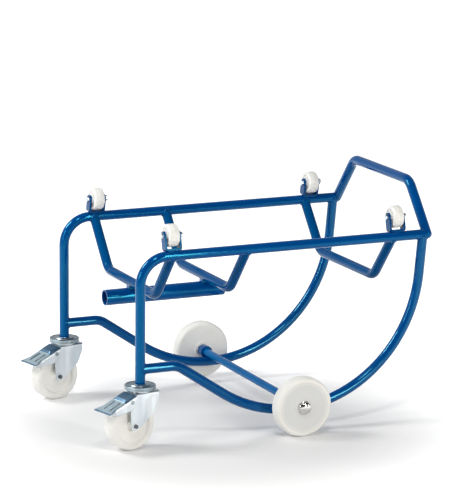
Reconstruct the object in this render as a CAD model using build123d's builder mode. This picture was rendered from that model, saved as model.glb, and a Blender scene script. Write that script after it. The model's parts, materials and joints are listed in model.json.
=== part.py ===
"""Rolling drum cradle: a tube frame on two fixed wheels and two braked swivel casters,
with four rollers for the drum. Millimetres, X along the rails to the rear, Y across, Z up.
The origin is on the floor, in the middle of the cradle's length and width."""

import os
from math import atan2, cos, radians, sin, tan

from build123d import *

os.makedirs("parts", exist_ok=True)

# Running fits and small gaps
RUN_CLEAR = 0.05
SIDE_PLAY = 0.3
END_PLAY = 0.5

# Bolts and nuts
BOLT_R = 4.0
HEX_AF = 13.0
HEAD_T = 5.5
NUT_T = 6.5
BOLT_END = 1.5

# Caster wheel and fork, drawn with the swivel axis on Z and the trail towards +X
SWIVEL = 13.0
TRAIL = 32.0
CASTER_R = 62.5
CASTER_W = 42.0
CASTER_EDGE = 9.0
CASTER_LIP = 6.5
CASTER_DISH = 9.0
DISH_TAPER = 25.0
CASTER_HUB_R = 12.0
SLEEVE_WALL = 2.0
SLEEVE_R = BOLT_R + SLEEVE_WALL
FORK_SIDE_GAP = 2.0
FORK_T = 3.0
FORK_IN = CASTER_W / 2 + FORK_SIDE_GAP
FORK_OUT = FORK_IN + FORK_T
BOSS_R = 11.5
CROWN_GAP = 14.5
CROWN_AHEAD = 42.0
CROWN_SHORT = 14.6
CROWN_CORNER = 5.0
CROWN_ROUND = 2.8
CROWN_TOP = 2 * CASTER_R + CROWN_GAP + FORK_T

# Swivel head on its ball ring, bolted into the plug in the leg
BALL_R = 3.5
BALL_PCD_R = 22.0
BALLS = 12
CAGE_T = 2.5
CAGE_W = 10.0
RACE_W = 12.0
HEAD_PLATE = 10.2
HEAD_R = 38.5
HEAD_WALL = 3.0
HEAD_SHOULDER_R = 25.0
HEAD_FALL = 2.5
HEAD_BREAK = 1.0
HEAD_SKIN = 4.0
HEAD_RIM_GAP = 5.0
KING_R = 6.0
KING_AF = 18.0
KING_HEAD_T = 7.0
KING_REACH = 32.0
PLUG_LEN = 40.0
RACE_Z = CROWN_TOP + 2 * BALL_R + SIDE_PLAY
LEG_BOTTOM = RACE_Z + HEAD_PLATE

# Brake pedal, its outlines measured from the pivot
PIVOT_BACK = 11.0
PIVOT_DROP = 18.0
PIVOT_R = 3.0
PIVOT_EAR_R = 5.6
PIVOT_X = TRAIL + PIVOT_BACK
PIVOT_Z = CROWN_TOP - PIVOT_DROP
CROWN_REAR = PIVOT_X - CROWN_SHORT
PEDAL_T = 2.5
PEDAL_GAP = 1.0
PEDAL_IN = FORK_OUT + PEDAL_GAP
PEDAL_OUT = PEDAL_IN + PEDAL_T
PEDAL_REACH = 69.0
PEDAL_BACK = 13.0
PEDAL_RISE = 14.7
PEDAL_FALL = 22.5
TIP_FLARE = 5.5
FLARE_LEN = 34.0
HOOD_FROM = 4.0
HOOD_LEN = 28.0
HOOD_SLOPE = 6.0
HOOD_H = 4.5
HOOD_Y = 23.0
HOOD_ROUND = 3.0
PEDAL_TIP_Y = PEDAL_OUT + TIP_FLARE
RIB_T = 1.6
RIB_W = 5.0
RIB_LEN = 38.0
RIB_TIP = 7.5
RIB_PITCH = 23.4
RIBS = 2
STUD_R = 3.4
RIVET_HEAD_R = 5.5
RIVET_HEAD_T = 1.6
SHOE_CLEAR = 3.8
SHOE_Y = 14.0
SHOE_FROM = 17.0
SHOE_L = 16.0

# Frame tube and its main lines
TUBE_R = 12.5
TUBE_WALL = 2.5
FRAME_LEN = 780.5
RAIL_SPACING = 512.0
SIDE_Y = RAIL_SPACING / 2
RAIL_Z = 471.0
RAIL_BEND = 70.0
RAIL_SHORT = 4.0
COPE_SHORT = 5.0
FRONT_SADDLE_GAP = 0.5
SADDLE_PITCH = 200.0
REAR_SADDLE_BACK = 96.5
SADDLE_FLAT = 308.0
SADDLE_Y = SADDLE_FLAT / 2
SADDLE_DROP = 120.0
SADDLE_BEND = 45.0
PASS = 8 * TUBE_R

# The pedal tips and the end hoop reach equally far from the origin
TURN = radians(SWIVEL)
TIP_REACH = (PIVOT_X + PEDAL_REACH) * cos(TURN) + PEDAL_TIP_Y * sin(TURN)
X_LEG = (TIP_REACH - FRAME_LEN - TUBE_R) / 2
X_HOOP = X_LEG + FRAME_LEN
X_FRONT = X_LEG + RAIL_BEND + TUBE_R + FRONT_SADDLE_GAP
X_MIDDLE = X_FRONT + SADDLE_PITCH
X_REAR = X_HOOP - REAR_SADDLE_BACK

# Fixed wheels and axle
WHEEL_R = 75.0
WHEEL_W = 36.0
WHEEL_EDGE = 8.0
WHEEL_LIP = 3.0
WHEEL_DISH = 2.0
HUB_STEP = 6.0
AXLE_R = 10.0
AXLE_SEAT = 1.5
AXLE_AHEAD = 4.0
COLLAR_WALL = 6.0
COLLAR_R = AXLE_R + COLLAR_WALL
COLLAR_GAP = 1.5
COLLAR_LEN = 24.5
COLLAR_BREAK = 1.0
WHEEL_HUB_R = COLLAR_R + HUB_STEP
CAP_WALL = 6.0
CAP_DOME_R = AXLE_R + CAP_WALL
CAP_LIP = 1.5
CAP_SEAT = 6.0
CAP_CROWN = 4.5
CAP_ROUND = 7.0

# Rocker runner: level start, slope down, one large arc, lean into the rail
RUNNER_UP = 35.0
RUNNER_BEND = 50.0
RUNNER_SLOPE = 34.0
RUNNER_R = 347.5
RUNNER_LEAN = 5.0
RUNNER_TOP_SHORT = 12.3

# Lever socket
SOCKET_R = 20.0
SOCKET_WALL = 3.0
SOCKET_GAP = 1.0
SOCKET_AHEAD = 73.5
SOCKET_BEHIND = 49.0
PAD_X = 22.0
PAD_Y = 18.0
PAD_H = 20.0

# Drum rollers
ROLLER_AFTER_FRONT = 2.0
ROLLER_AFTER_REAR = 11.0
ROLLER_R = 28.0
ROLLER_W = 28.0
ROLLER_EDGE = 6.0
ROLLER_HUB_R = 10.0
ROLLER_GAP = 3.0
ROLLER_LEAN = 14.0
EAR_T = 5.0
EAR_W = 22.0
EAR_GAP = 3.0
EAR_BEND = 1.5
BASE_LOW = TUBE_R - 1.5
BASE_TOP = TUBE_R + 6.5
ROLLER_H = BASE_TOP + ROLLER_GAP + ROLLER_R


def save(part, label):
    part.label = label
    export_step(part, f"parts/{label}.step")


def side_sign(side):
    return -1 if side == "near" else 1


def tube_ring():
    Circle(TUBE_R)
    Circle(TUBE_R - TUBE_WALL, mode=Mode.SUBTRACT)


def rail_plane(side):
    """The vertical plane through one side's leg, rail and runner."""
    return Plane.XZ.offset(-side_sign(side) * SIDE_Y)


def hoop_leg_axis(side):
    """Plane on the end hoop's leg where the rail meets it, looking up along the leg."""
    along = (0, -side_sign(side) * (SIDE_Y - SADDLE_Y), SADDLE_DROP)
    return Plane(origin=(X_HOOP, side_sign(side) * SIDE_Y, RAIL_Z), x_dir=(1, 0, 0), z_dir=along)


def cut_by_hoop(side):
    """Cuts the open part back to the end hoop's leg and to the dome that closes it."""
    with Locations(hoop_leg_axis(side)):
        Cylinder(TUBE_R, PASS, align=(Align.CENTER, Align.CENTER, Align.MIN), mode=Mode.SUBTRACT)
        Sphere(TUBE_R, mode=Mode.SUBTRACT)


def from_pivot(points):
    """Points of a caster's side view, given from the brake pivot."""
    return [(PIVOT_X + x, PIVOT_Z + z) for x, z in points]


# Legs and rails
for side in ("near", "far"):
    with BuildPart() as side_tube:
        with BuildLine(rail_plane(side)) as line:
            FilletPolyline(
                (X_LEG, LEG_BOTTOM), (X_LEG, RAIL_Z), (X_HOOP - RAIL_SHORT, RAIL_Z),
                radius=RAIL_BEND,
            )
        with BuildSketch(Plane(origin=line.line @ 0, z_dir=line.line % 0)):
            tube_ring()
        sweep(path=line.line)
        cut_by_hoop(side)
    save(side_tube.part, f"{side}_side_tube")

# Runners
slope = radians(RUNNER_SLOPE)
lean = radians(RUNNER_LEAN)
start_z = LEG_BOTTOM + RUNNER_UP
arc_z = WHEEL_R - AXLE_R + AXLE_SEAT - TUBE_R + RUNNER_R
climb = RAIL_Z - COPE_SHORT - arc_z + RUNNER_R * sin(lean)
runner_top_x = X_HOOP - RUNNER_TOP_SHORT
arc_x = runner_top_x - climb * tan(lean) - RUNNER_R * cos(lean)
axle_x = arc_x - AXLE_AHEAD
arc_start = (arc_x - RUNNER_R * sin(slope), arc_z - RUNNER_R * cos(slope))
knee_x = arc_start[0] - (start_z - arc_start[1]) / tan(slope)
knee_reach = RUNNER_BEND * tan(slope / 2)
for side in ("near", "far"):
    with BuildPart() as runner:
        with BuildLine(rail_plane(side)) as line:
            level = Line((X_LEG + COPE_SHORT, start_z), (knee_x - knee_reach, start_z))
            knee = JernArc(level @ 1, level % 1, RUNNER_BEND, -RUNNER_SLOPE)
            down = Line(knee @ 1, arc_start)
            rocker = JernArc(down @ 1, down % 1, RUNNER_R, RUNNER_SLOPE + 90 - RUNNER_LEAN)
            Line(rocker @ 1, (rocker @ 1) + Vector(climb * tan(lean), 0, climb))
        with BuildSketch(Plane(origin=line.line @ 0, z_dir=line.line % 0)):
            tube_ring()
        sweep(path=line.line)
        with Locations((X_LEG, side_sign(side) * SIDE_Y, start_z)):
            Cylinder(TUBE_R, PASS, mode=Mode.SUBTRACT)
        with Locations((runner_top_x, side_sign(side) * SIDE_Y, RAIL_Z)):
            Cylinder(TUBE_R, PASS, rotation=(0, 90, 0), mode=Mode.SUBTRACT)
        cut_by_hoop(side)
        with Locations((axle_x, side_sign(side) * SIDE_Y, WHEEL_R)):
            Cylinder(AXLE_R, PASS, rotation=(90, 0, 0), mode=Mode.SUBTRACT)
    save(runner.part, f"{side}_runner")

# Saddles, coped to the undersides of the rails
saddle_z = RAIL_Z - SADDLE_DROP
leg_len = ((SIDE_Y - SADDLE_Y) ** 2 + SADDLE_DROP**2) ** 0.5
top_y = SIDE_Y - COPE_SHORT * (SIDE_Y - SADDLE_Y) / leg_len
top_z = RAIL_Z - COPE_SHORT * SADDLE_DROP / leg_len
for name, x in (("front", X_FRONT), ("middle", X_MIDDLE), ("rear", X_REAR)):
    with BuildPart() as saddle:
        with BuildLine(Plane.YZ.offset(x)) as line:
            FilletPolyline(
                (-top_y, top_z), (-SADDLE_Y, saddle_z), (SADDLE_Y, saddle_z), (top_y, top_z),
                radius=SADDLE_BEND,
            )
        with BuildSketch(Plane(origin=line.line @ 0, z_dir=line.line % 0)):
            tube_ring()
        sweep(path=line.line)
        with Locations((x, -SIDE_Y, RAIL_Z), (x, SIDE_Y, RAIL_Z)):
            Cylinder(TUBE_R, PASS, rotation=(0, 90, 0), mode=Mode.SUBTRACT)
    save(saddle.part, f"{name}_saddle")

# End hoop: the saddle's shape turned up, its ends closed by domes
hoop_z = RAIL_Z + SADDLE_DROP
with BuildPart() as end_hoop:
    with BuildLine(Plane.YZ.offset(X_HOOP)) as line:
        FilletPolyline(
            (-SIDE_Y, RAIL_Z), (-SADDLE_Y, hoop_z), (SADDLE_Y, hoop_z), (SIDE_Y, RAIL_Z),
            radius=SADDLE_BEND,
        )
    with BuildSketch(Plane(origin=line.line @ 0, z_dir=line.line % 0)):
        tube_ring()
    sweep(path=line.line)
save(end_hoop.part, "end_hoop")

for side in ("near", "far"):
    with BuildPart() as hoop_cap:
        with Locations(hoop_leg_axis(side)):
            Sphere(TUBE_R)
        split(bisect_by=hoop_leg_axis(side), keep=Keep.BOTTOM)
    save(hoop_cap.part, f"{side}_hoop_cap")

# Lever socket under the front and middle saddles
socket_z = saddle_z - TUBE_R - SOCKET_GAP - SOCKET_R
socket_len = SOCKET_AHEAD + X_MIDDLE - X_FRONT + SOCKET_BEHIND
with BuildPart() as lever_socket:
    with BuildSketch(Plane.YZ.offset(X_FRONT - SOCKET_AHEAD)):
        with Locations((0, socket_z)):
            Circle(SOCKET_R)
            Circle(SOCKET_R - SOCKET_WALL, mode=Mode.SUBTRACT)
    extrude(amount=socket_len)
save(lever_socket.part, "lever_socket")

for name, x in (("front", X_FRONT), ("middle", X_MIDDLE)):
    with BuildPart() as socket_pad:
        with Locations((x, 0, saddle_z - TUBE_R)):
            Box(PAD_X, PAD_Y, PAD_H)
        with Locations((x, 0, socket_z)):
            Cylinder(SOCKET_R, PASS, rotation=(0, 90, 0), mode=Mode.SUBTRACT)
        with Locations((x, 0, saddle_z)):
            Cylinder(TUBE_R, PASS, rotation=(90, 0, 0), mode=Mode.SUBTRACT)
    save(socket_pad.part, f"{name}_socket_pad")

# Fixed axle with its collars, wheels and caps
collar_in = SIDE_Y + TUBE_R + COLLAR_GAP
hub_in = collar_in + COLLAR_LEN + END_PLAY
hub_out = hub_in + WHEEL_W
cap_in = hub_out + END_PLAY
with BuildPart() as axle_rod:
    with Locations((axle_x, 0, WHEEL_R)):
        Cylinder(AXLE_R, 2 * (cap_in + CAP_SEAT), rotation=(90, 0, 0))
save(axle_rod.part, "axle_rod")

for side in ("near", "far"):
    outward = Plane(
        origin=(axle_x, 0, WHEEL_R), x_dir=(1, 0, 0), z_dir=(0, side_sign(side), 0)
    )
    with BuildPart() as axle_collar:
        with BuildSketch(outward.offset(collar_in)):
            Circle(COLLAR_R)
            Circle(AXLE_R, mode=Mode.SUBTRACT)
        extrude(amount=COLLAR_LEN)
        rims = axle_collar.edges().filter_by(GeomType.CIRCLE).sort_by(SortBy.RADIUS)[-2:]
        chamfer(rims, COLLAR_BREAK)
    save(axle_collar.part, f"{side}_axle_collar")

    with BuildPart() as hub_cap:
        with BuildSketch(outward.offset(cap_in)):
            Circle(CAP_DOME_R + CAP_LIP)
        extrude(amount=CAP_LIP)
        with BuildSketch(outward.offset(cap_in)):
            Circle(CAP_DOME_R)
        extrude(amount=CAP_SEAT + CAP_CROWN)
        rims = hub_cap.edges().filter_by(GeomType.CIRCLE).sort_by(Axis.Y)
        fillet(rims[0 if side == "near" else -1], CAP_ROUND)
        with BuildSketch(outward.offset(cap_in)):
            Circle(AXLE_R)
        extrude(amount=CAP_SEAT, mode=Mode.SUBTRACT)
    save(hub_cap.part, f"{side}_hub_cap")

    with BuildPart() as wheel:
        with BuildSketch(outward.offset(hub_in)):
            Circle(WHEEL_R)
        extrude(amount=WHEEL_W)
        fillet(wheel.edges().filter_by(GeomType.CIRCLE), WHEEL_EDGE)
        for start, reach in ((hub_in, WHEEL_DISH), (hub_out, -WHEEL_DISH)):
            with BuildSketch(outward.offset(start)):
                Circle(WHEEL_R - WHEEL_EDGE - WHEEL_LIP)
            with BuildSketch(outward.offset(start + reach)):
                Circle(WHEEL_HUB_R + HUB_STEP)
            loft(mode=Mode.SUBTRACT)
            with BuildSketch(outward.offset(start)):
                Circle(WHEEL_HUB_R)
            extrude(amount=2 * reach)
        with BuildSketch(outward.offset(hub_in)):
            Circle(AXLE_R + RUN_CLEAR)
        extrude(amount=WHEEL_W, mode=Mode.SUBTRACT)
    save(wheel.part, f"{side}_wheel")

# Drum rollers, drawn with the rail's axis on X and the bracket standing along Z
ear_in = ROLLER_W / 2 + EAR_GAP
ear_out = ear_in + EAR_T
ear_top = ROLLER_H + EAR_W / 2
with BuildPart() as bracket:
    with BuildSketch(Plane.XZ) as channel:
        with Locations((0, BASE_LOW)):
            Rectangle(2 * ear_out, ear_top - BASE_LOW, align=(Align.CENTER, Align.MIN))
        fillet(channel.vertices().group_by(Axis.Z)[0], EAR_BEND + EAR_T)
        with BuildSketch(Plane.XZ, mode=Mode.SUBTRACT) as inside:
            with Locations((0, BASE_TOP)):
                Rectangle(2 * ear_in, ear_top - BASE_TOP, align=(Align.CENTER, Align.MIN))
            fillet(inside.vertices().group_by(Axis.Z)[0], EAR_BEND)
    extrude(amount=EAR_W / 2, both=True)
    with BuildSketch(Plane.YZ):
        with Locations((0, ROLLER_H / 2)):
            Rectangle(EAR_W, ROLLER_H)
        with Locations((0, ROLLER_H)):
            Circle(EAR_W / 2)
            Circle(BOLT_R, mode=Mode.SUBTRACT)
    extrude(amount=2 * ear_out, both=True, mode=Mode.INTERSECT)
    Cylinder(TUBE_R, 4 * ear_out, rotation=(0, 90, 0), mode=Mode.SUBTRACT)

with BuildPart() as roller:
    with BuildSketch(Plane.YZ.offset(-ROLLER_W / 2)):
        with Locations((0, ROLLER_H)):
            Circle(ROLLER_R)
    extrude(amount=ROLLER_W)
    fillet(roller.edges().filter_by(GeomType.CIRCLE), ROLLER_EDGE)
    with BuildSketch(Plane.YZ):
        with Locations((0, ROLLER_H)):
            Circle(ROLLER_HUB_R)
    extrude(amount=ear_in - SIDE_PLAY, both=True)
    with BuildSketch(Plane.YZ):
        with Locations((0, ROLLER_H)):
            Circle(BOLT_R + RUN_CLEAR)
    extrude(amount=ear_in, both=True, mode=Mode.SUBTRACT)

with BuildPart() as roller_bolt:
    with BuildSketch(Plane.YZ.offset(-ear_out - HEAD_T)):
        with Locations((0, ROLLER_H)):
            RegularPolygon(HEX_AF / 2, 6, major_radius=False)
    extrude(amount=HEAD_T)
    with BuildSketch(Plane.YZ.offset(-ear_out)):
        with Locations((0, ROLLER_H)):
            Circle(BOLT_R)
    extrude(amount=2 * ear_out + NUT_T + BOLT_END)

with BuildPart() as roller_nut:
    with BuildSketch(Plane.YZ.offset(ear_out)):
        with Locations((0, ROLLER_H)):
            RegularPolygon(HEX_AF / 2, 6, major_radius=False)
            Circle(BOLT_R, mode=Mode.SUBTRACT)
    extrude(amount=NUT_T)

roller_rows = (("front", X_FRONT + ROLLER_AFTER_FRONT), ("rear", X_REAR + ROLLER_AFTER_REAR))
for side in ("near", "far"):
    for end, x in roller_rows:
        place = Location((x, side_sign(side) * SIDE_Y, RAIL_Z), (side_sign(side) * ROLLER_LEAN, 0, 0))
        save(place * bracket.part, f"{side}_{end}_bracket")
        save(place * roller.part, f"{side}_{end}_roller")
        save(place * roller_bolt.part, f"{side}_{end}_roller_bolt")
        save(place * roller_nut.part, f"{side}_{end}_roller_nut")

# Swivel caster
with BuildPart() as leg_plug:
    with BuildSketch(Plane.XY.offset(LEG_BOTTOM)):
        Circle(TUBE_R - TUBE_WALL)
        Circle(KING_R, mode=Mode.SUBTRACT)
    extrude(amount=PLUG_LEN)

with BuildPart() as caster_head:
    with BuildSketch(Plane.XZ):
        with BuildLine():
            shoulder_z = LEG_BOTTOM - HEAD_FALL
            skirt_in = HEAD_R - HEAD_WALL
            race_in = BALL_PCD_R - RACE_W / 2
            race_out = BALL_PCD_R + RACE_W / 2
            Polyline(
                (KING_R, LEG_BOTTOM), (HEAD_SHOULDER_R, LEG_BOTTOM), (HEAD_R - HEAD_BREAK, shoulder_z),
                (HEAD_R, shoulder_z - HEAD_BREAK), (HEAD_R, CROWN_TOP + HEAD_RIM_GAP),
                (skirt_in, CROWN_TOP + HEAD_RIM_GAP), (skirt_in, shoulder_z - HEAD_SKIN),
                (race_out, shoulder_z - HEAD_SKIN), (race_out, RACE_Z), (race_in, RACE_Z),
                (race_in, LEG_BOTTOM - HEAD_SKIN), (KING_R, LEG_BOTTOM - HEAD_SKIN),
                close=True,
            )
        make_face()
    revolve(axis=Axis.Z)

king_seat = CROWN_TOP - FORK_T - SIDE_PLAY
with BuildPart() as king_bolt:
    with BuildSketch(Plane.XY.offset(king_seat - KING_HEAD_T)):
        RegularPolygon(KING_AF / 2, 6, major_radius=False)
    extrude(amount=KING_HEAD_T)
    with BuildSketch(Plane.XY.offset(king_seat)):
        Circle(KING_R)
    extrude(amount=LEG_BOTTOM + KING_REACH - king_seat)

with BuildPart() as ball_ring:
    with BuildSketch(Plane.XY.offset(CROWN_TOP)):
        Circle(BALL_PCD_R + CAGE_W / 2)
        Circle(BALL_PCD_R - CAGE_W / 2, mode=Mode.SUBTRACT)
    extrude(amount=CAGE_T)
    with Locations((0, 0, CROWN_TOP + BALL_R)):
        with PolarLocations(BALL_PCD_R, BALLS):
            Sphere(BALL_R)

fork_cheek = [
    (CROWN_CORNER - CROWN_AHEAD, CROWN_TOP), (CROWN_REAR, CROWN_TOP), (CROWN_REAR, PIVOT_Z + 10.5),
    (PIVOT_X, PIVOT_Z + PIVOT_EAR_R - 0.5), (PIVOT_X + PIVOT_EAR_R - 0.5, PIVOT_Z),
    (PIVOT_X + 2, PIVOT_Z - 23.5), (TRAIL + BOSS_R, CASTER_R), (TRAIL - 9, CASTER_R - 7),
    (TRAIL - 20, CASTER_R - 2.5), (TRAIL - 57, CASTER_R + 29.5), (5 - CROWN_AHEAD, CROWN_TOP - 22),
]
with BuildPart() as fork:
    with BuildSketch(Plane.XY.offset(CROWN_TOP - FORK_T)) as crown:
        with Locations((CROWN_REAR, 0)):
            Rectangle(CROWN_REAR + CROWN_AHEAD, 2 * FORK_OUT, align=(Align.MAX, Align.CENTER))
        fillet(crown.vertices().group_by(Axis.X)[0], CROWN_CORNER)
        Circle(KING_R + RUN_CLEAR, mode=Mode.SUBTRACT)
    extrude(amount=FORK_T)
    for y in (-FORK_OUT, FORK_IN):
        with BuildSketch(Plane.XZ.offset(-y)):
            with BuildLine():
                Polyline(*fork_cheek, close=True)
            make_face()
            with Locations((TRAIL, CASTER_R)):
                Circle(BOSS_R)
                Circle(BOLT_R, mode=Mode.SUBTRACT)
            with Locations((PIVOT_X, PIVOT_Z)):
                Circle(PIVOT_EAR_R)
                Circle(PIVOT_R, mode=Mode.SUBTRACT)
        extrude(amount=-FORK_T)
    ridge = fork.edges().filter_by(Axis.X).group_by(Axis.Z)[-1].sort_by(Axis.Y)
    fillet([ridge[0], ridge[-1]], CROWN_ROUND)

with BuildPart() as caster_wheel:
    with BuildSketch(Plane.XZ):
        with Locations((TRAIL, CASTER_R)):
            Circle(CASTER_R)
    extrude(amount=CASTER_W / 2, both=True)
    fillet(caster_wheel.edges().filter_by(GeomType.CIRCLE), CASTER_EDGE)
    for y, reach in ((CASTER_W / 2, -CASTER_DISH), (-CASTER_W / 2, CASTER_DISH)):
        with BuildSketch(Plane(origin=(TRAIL, y, CASTER_R), x_dir=(1, 0, 0), z_dir=(0, 1, 0))):
            Circle(CASTER_R - CASTER_EDGE - CASTER_LIP)
        extrude(amount=reach, taper=DISH_TAPER, mode=Mode.SUBTRACT)
    with BuildSketch(Plane.XZ):
        with Locations((TRAIL, CASTER_R)):
            Circle(CASTER_HUB_R)
    extrude(amount=FORK_IN - SIDE_PLAY, both=True)
    with BuildSketch(Plane.XZ):
        with Locations((TRAIL, CASTER_R)):
            Circle(SLEEVE_R + RUN_CLEAR)
    extrude(amount=FORK_IN, both=True, mode=Mode.SUBTRACT)

with BuildPart() as axle_sleeve:
    with BuildSketch(Plane.XZ):
        with Locations((TRAIL, CASTER_R)):
            Circle(SLEEVE_R)
            Circle(BOLT_R, mode=Mode.SUBTRACT)
    extrude(amount=FORK_IN, both=True)

with BuildPart() as axle_bolt:
    with BuildSketch(Plane.XZ.offset(-FORK_OUT - HEAD_T)):
        with Locations((TRAIL, CASTER_R)):
            RegularPolygon(HEX_AF / 2, 6, major_radius=False)
    extrude(amount=HEAD_T)
    with BuildSketch(Plane.XZ.offset(-FORK_OUT)):
        with Locations((TRAIL, CASTER_R)):
            Circle(BOLT_R)
    extrude(amount=2 * FORK_OUT + NUT_T + BOLT_END)

with BuildPart() as axle_nut:
    with BuildSketch(Plane.XZ.offset(FORK_OUT)):
        with Locations((TRAIL, CASTER_R)):
            RegularPolygon(HEX_AF / 2, 6, major_radius=False)
            Circle(BOLT_R, mode=Mode.SUBTRACT)
    extrude(amount=NUT_T)

# Brake pedal: a sloping plate between two skirts, a hood over the pivot, ribs and a stud on the tread
fall = radians(PEDAL_FALL)
plate = Plane(
    origin=(PIVOT_X - PEDAL_BACK, 0, PIVOT_Z + PEDAL_RISE),
    x_dir=(cos(fall), 0, -sin(fall)), z_dir=(sin(fall), 0, cos(fall)),
)
plate_len = (PEDAL_REACH + PEDAL_BACK) / cos(fall)
tip_drop = PEDAL_RISE - (PEDAL_REACH + PEDAL_BACK) * tan(fall)
plate_side = Plane(origin=plate.origin, x_dir=plate.x_dir, z_dir=(0, -1, 0))
skirt = from_pivot([
    (-PEDAL_BACK, PEDAL_RISE - 1), (PEDAL_REACH - 3, tip_drop + 0.5), (PEDAL_REACH - 12, tip_drop - 6.5),
    (38, -26), (19, -24), (2, -21), (-11, -10),
])
with BuildPart() as pedal:
    with BuildSketch(plate):
        with BuildLine():
            Polyline(
                (0, -PEDAL_OUT), (plate_len - FLARE_LEN, -PEDAL_OUT), (plate_len, -PEDAL_TIP_Y),
                (plate_len, PEDAL_TIP_Y), (plate_len - FLARE_LEN, PEDAL_OUT), (0, PEDAL_OUT),
                close=True,
            )
        make_face()
    extrude(amount=-PEDAL_T)
    with BuildSketch(plate_side):
        with BuildLine():
            Polyline(
                (HOOD_FROM, 0), (HOOD_FROM, HOOD_H), (HOOD_FROM + HOOD_LEN, HOOD_H),
                (HOOD_FROM + HOOD_LEN + HOOD_SLOPE, 0), close=True,
            )
        make_face()
    extrude(amount=HOOD_Y, both=True)
    hood_top = pedal.faces().filter_by(lambda face: face.normal_at().dot(plate.z_dir) > 0.99)
    hood_sides = hood_top.sort_by(Axis.Z)[-1].edges().filter_by(GeomType.LINE).sort_by(Axis.Y)
    fillet([hood_sides[0], hood_sides[-1]], HOOD_ROUND)
    with BuildSketch(plate):
        with Locations((plate_len - RIB_TIP - RIB_LEN / 2, 0)):
            Circle(STUD_R)
            with GridLocations(0, RIB_PITCH, 1, RIBS):
                SlotOverall(RIB_LEN, RIB_W)
    extrude(amount=RIB_T)
    for y in (-PEDAL_OUT, PEDAL_IN):
        with BuildSketch(Plane.XZ.offset(-y)):
            with BuildLine():
                Polyline(*skirt, close=True)
            make_face()
            with Locations((PIVOT_X, PIVOT_Z)):
                Circle(PIVOT_R + RUN_CLEAR, mode=Mode.SUBTRACT)
        extrude(amount=-PEDAL_T)

with BuildPart() as pedal_rivets:
    for sign in (-1, 1):
        rivet = Plane(origin=(PIVOT_X, 0, PIVOT_Z), x_dir=(1, 0, 0), z_dir=(0, sign, 0))
        with BuildSketch(rivet.offset(FORK_IN)):
            Circle(PIVOT_R)
        extrude(amount=PEDAL_OUT + SIDE_PLAY - FORK_IN)
        with BuildSketch(rivet.offset(PEDAL_OUT + SIDE_PLAY)):
            Circle(RIVET_HEAD_R)
        extrude(amount=RIVET_HEAD_T)

# Brake shoe under the plate, its face a constant distance from the wheel
with BuildPart() as brake_shoe:
    with BuildSketch(plate_side):
        with Locations((SHOE_FROM, -PEDAL_T)):
            Rectangle(SHOE_L, SHOE_L, align=(Align.MIN, Align.MAX))
    extrude(amount=SHOE_Y, both=True)
    with BuildSketch(Plane.XZ):
        with Locations((TRAIL, CASTER_R)):
            Circle(CASTER_R + SHOE_CLEAR)
    extrude(amount=2 * SHOE_Y, both=True, mode=Mode.SUBTRACT)

for side in ("near", "far"):
    place = Location((X_LEG, side_sign(side) * SIDE_Y, 0), (0, 0, 180 + SWIVEL))
    save(place * leg_plug.part, f"{side}_leg_plug")
    save(place * caster_head.part, f"{side}_caster_head")
    save(place * king_bolt.part, f"{side}_king_bolt")
    save(place * ball_ring.part, f"{side}_ball_ring")
    save(place * fork.part, f"{side}_fork")
    save(place * caster_wheel.part, f"{side}_caster_wheel")
    save(place * axle_sleeve.part, f"{side}_axle_sleeve")
    save(place * axle_bolt.part, f"{side}_axle_bolt")
    save(place * axle_nut.part, f"{side}_axle_nut")
    save(place * pedal.part, f"{side}_pedal")
    save(place * pedal_rivets.part, f"{side}_pedal_rivets")
    save(place * brake_shoe.part, f"{side}_brake_shoe")
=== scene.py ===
import json
from math import atan2, cos, exp, pi, radians, sin, sqrt, tan

import bmesh
import bpy
from mathutils import Matrix, Vector


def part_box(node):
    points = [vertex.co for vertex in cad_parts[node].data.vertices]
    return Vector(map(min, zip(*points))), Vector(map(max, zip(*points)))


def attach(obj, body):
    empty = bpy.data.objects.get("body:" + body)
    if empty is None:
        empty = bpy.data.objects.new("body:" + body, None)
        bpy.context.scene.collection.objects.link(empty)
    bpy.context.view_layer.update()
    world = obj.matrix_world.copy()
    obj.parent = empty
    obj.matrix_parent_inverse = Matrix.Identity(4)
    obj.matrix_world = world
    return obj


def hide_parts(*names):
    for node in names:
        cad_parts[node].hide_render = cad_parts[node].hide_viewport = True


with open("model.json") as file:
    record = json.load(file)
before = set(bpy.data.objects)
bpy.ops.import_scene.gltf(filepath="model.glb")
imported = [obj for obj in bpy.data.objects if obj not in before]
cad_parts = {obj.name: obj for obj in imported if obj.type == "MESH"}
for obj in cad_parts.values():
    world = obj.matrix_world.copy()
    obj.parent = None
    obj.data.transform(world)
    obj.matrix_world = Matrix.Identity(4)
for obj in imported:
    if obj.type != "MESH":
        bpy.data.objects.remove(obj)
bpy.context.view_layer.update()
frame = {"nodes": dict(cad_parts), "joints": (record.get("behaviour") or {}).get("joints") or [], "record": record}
scene = bpy.context.scene
joints = {joint["name"]: joint for joint in frame["joints"]}

# Sizes that the new pieces share with the solids, in millimetres; SWIVEL and ROLLER_LEAN in degrees
MM = 0.001
SWIVEL = 13.0
TRAIL = 32.0
CASTER_R = 62.5
CASTER_W = 42.0
FORK_IN = 23.0
FORK_OUT = 26.0
FORK_T = 3.0
BOSS_R = 11.5
CROWN_TOP = 142.5
CROWN_FRONT = -42.0
CROWN_REAR = 28.4
PIVOT_X = 43.0
PIVOT_Z = 124.5
PIVOT_EAR_R = 5.6
LEG_BOTTOM = 160.0
HEAD_R = 38.5
HEAD_LOW = 147.5
RACE_Z = 149.8
KING_R = 6.0
PEDAL_T = 2.5
PEDAL_OUT = 29.5
PEDAL_BACK = 13.0
PEDAL_REACH = 69.0
PEDAL_RISE = 14.7
PEDAL_FALL = radians(22.5)
PEDAL_TIP_Y = 35.0
TUBE_R = 12.5
RAIL_Z = 471.0
SIDE_Y = 256.0
SADDLE_Y = 154.0
SADDLE_DROP = 120.0
RUNNER_Z = 195.0
RUNNER_TOP = 768.2
RUNNER_LEAN = radians(5.0)
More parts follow.
